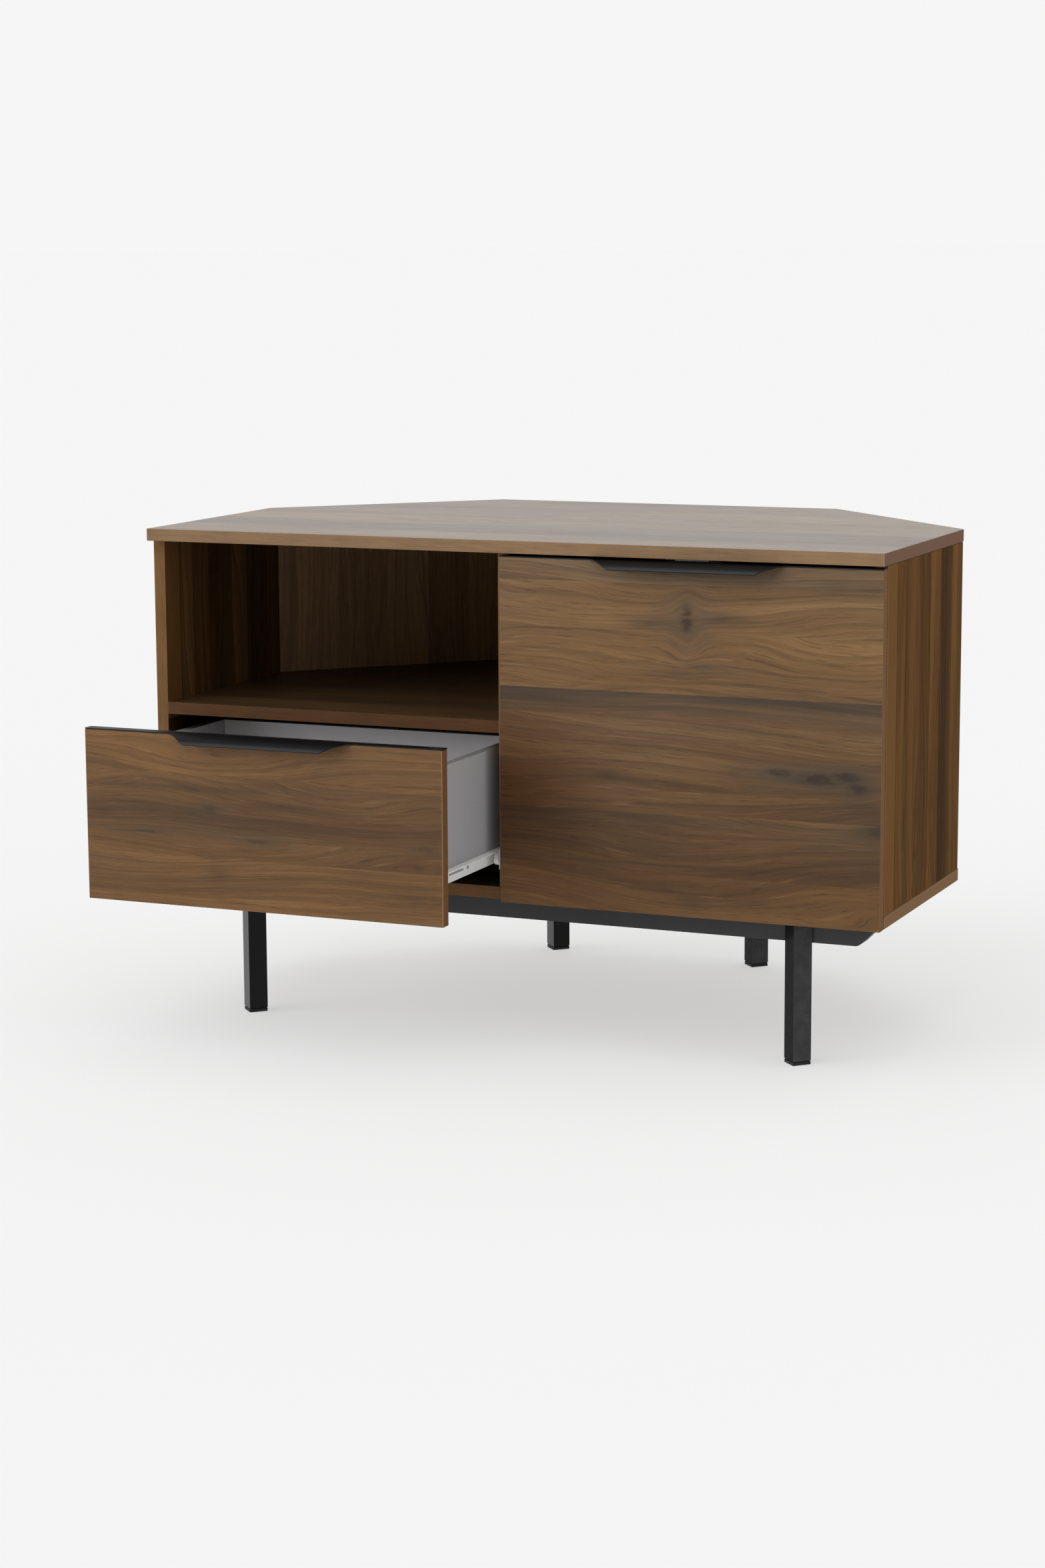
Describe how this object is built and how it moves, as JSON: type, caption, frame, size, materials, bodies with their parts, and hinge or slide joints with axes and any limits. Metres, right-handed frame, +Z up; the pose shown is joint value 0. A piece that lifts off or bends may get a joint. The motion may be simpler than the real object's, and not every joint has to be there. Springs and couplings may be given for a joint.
{
  "type": "corner media cabinet",
  "caption": "Corner media cabinet in walnut effect with an open shelf, a drawer on roller slides below it and a drop-down flap beside it, on black square tube legs.",
  "frame": {"origin": "on the floor, below the centre of the bounding box with the drawer open 170 mm as stored", "axes": "+Z up, +X to the right seen from the front, +Y towards the back"},
  "size_m": [1, 0.794, 0.645],
  "materials": {
    "walnut_board": "walnut-effect boards with plain brown edging, satin",
    "walnut_dark": "darker walnut-effect boards in the shade, satin",
    "black_metal": "satin black powder coat",
    "black_plastic": "moulded, matt",
    "grey_foil": "light grey foil on board, smooth",
    "white_steel": "white lacquered steel",
    "white_plastic": "white moulded nylon",
    "nickel": "nickel-plated steel"
  },
  "bodies": {
    "cabinet": {"top_panel": "walnut_board", "bottom_panel": "walnut_dark", "left_side_panel": "walnut_board", "right_side_panel": "walnut_board", "divider_panel": "walnut_board", "fixed_shelf": "walnut_board", "back_panel_left": "walnut_dark", "back_panel_centre": "walnut_dark", "back_panel_right": "walnut_dark", "front_rail": "black_metal", "rear_rail": "black_metal", "leg_front_left": "black_metal", "leg_front_right": "black_metal", "leg_rear_left": "black_metal", "leg_rear_right": "black_metal", "foot_cap_front_left": "black_plastic", "foot_cap_front_right": "black_plastic", "foot_cap_rear_left": "black_plastic", "foot_cap_rear_right": "black_plastic", "leg_bolt_front_left": "nickel", "leg_bolt_front_right": "nickel", "leg_bolt_rear_left": "nickel", "leg_bolt_rear_right": "nickel", "slide_fixed_left": "white_steel", "slide_fixed_right": "white_steel", "hinge_arm_left": "nickel", "hinge_arm_right": "nickel", "flap_catch": "white_plastic"},
    "drawer": {"drawer_front": "walnut_board", "drawer_handle": "black_metal", "drawer_side_left": "grey_foil", "drawer_side_right": "grey_foil", "drawer_bottom": "grey_foil", "drawer_back": "grey_foil", "slide_drawer_left": "white_steel", "slide_drawer_right": "white_steel"},
    "roller_front_left": {"slide_roller_front_left": "white_plastic"},
    "roller_front_right": {"slide_roller_front_right": "white_plastic"},
    "roller_rear_left": {"slide_roller_rear_left": "white_plastic"},
    "roller_rear_right": {"slide_roller_rear_right": "white_plastic"},
    "flap": {"door_panel": "walnut_board", "door_handle": "black_metal", "hinge_cup_left": "nickel", "hinge_cup_right": "nickel", "stay_bracket_left": "nickel", "stay_bracket_right": "nickel", "flap_catch_plate": "nickel"},
    "stay_arm_left": {"stay_arm_left": "nickel"},
    "stay_arm_right": {"stay_arm_right": "nickel"},
    "stay_block_left": {"stay_block_left": "black_plastic"},
    "stay_block_right": {"stay_block_right": "black_plastic"}
  },
  "joints": [
    {"name": "drawer_slide", "type": "slide", "parent": "cabinet", "child": "drawer", "axis": [0, -1, 0], "range_m": [-0.17, 0.06]},
    {"name": "flap_hinge", "type": "hinge", "parent": "cabinet", "child": "flap", "pos_m": [0.25, -0.196, 0.191], "axis": [1, 0, 0], "range_deg": [0, 90]},
    {"name": "roller_front_left_spin", "type": "hinge", "parent": "cabinet", "child": "roller_front_left", "pos_m": [-0.4777, -0.172, 0.237], "axis": [1, 0, 0], "continuous": true},
    {"name": "roller_rear_left_spin", "type": "hinge", "parent": "drawer", "child": "roller_rear_left", "pos_m": [-0.4774, -0.073, 0.2339], "axis": [1, 0, 0], "continuous": true},
    {"name": "stay_arm_left_pivot", "type": "hinge", "parent": "flap", "child": "stay_arm_left", "pos_m": [0.0195, -0.173, 0.34934], "axis": [1, 0, 0], "range_deg": [-45, 0]},
    {"name": "stay_block_left_swivel", "type": "hinge", "parent": "cabinet", "child": "stay_block_left", "pos_m": [0.0195, -0.10423, 0.32206], "axis": [1, 0, 0], "range_deg": [0, 45]},
    {"name": "roller_front_right_spin", "type": "hinge", "parent": "cabinet", "child": "roller_front_right", "pos_m": [-0.0143, -0.172, 0.237], "axis": [1, 0, 0], "continuous": true},
    {"name": "roller_rear_right_spin", "type": "hinge", "parent": "drawer", "child": "roller_rear_right", "pos_m": [-0.0146, -0.073, 0.2339], "axis": [1, 0, 0], "continuous": true},
    {"name": "stay_arm_right_pivot", "type": "hinge", "parent": "flap", "child": "stay_arm_right", "pos_m": [0.4725, -0.173, 0.34934], "axis": [1, 0, 0], "range_deg": [-45, 0]},
    {"name": "stay_block_right_swivel", "type": "hinge", "parent": "cabinet", "child": "stay_block_right", "pos_m": [0.4725, -0.10423, 0.32206], "axis": [1, 0, 0], "range_deg": [0, 45]}
  ],
  "couplings": [
    {"joint": "roller_front_left_spin", "follows": "drawer_slide", "rad_per_m": 111.11},
    {"joint": "roller_rear_left_spin", "follows": "drawer_slide", "rad_per_m": 119.05},
    {"joint": "stay_arm_left_pivot", "follows": "flap_hinge", "ratio": -0.5},
    {"joint": "stay_block_left_swivel", "follows": "flap_hinge", "ratio": 0.5},
    {"joint": "roller_front_right_spin", "follows": "drawer_slide", "rad_per_m": 111.11},
    {"joint": "roller_rear_right_spin", "follows": "drawer_slide", "rad_per_m": 119.05},
    {"joint": "stay_arm_right_pivot", "follows": "flap_hinge", "ratio": -0.5},
    {"joint": "stay_block_right_swivel", "follows": "flap_hinge", "ratio": 0.5}
  ]
}
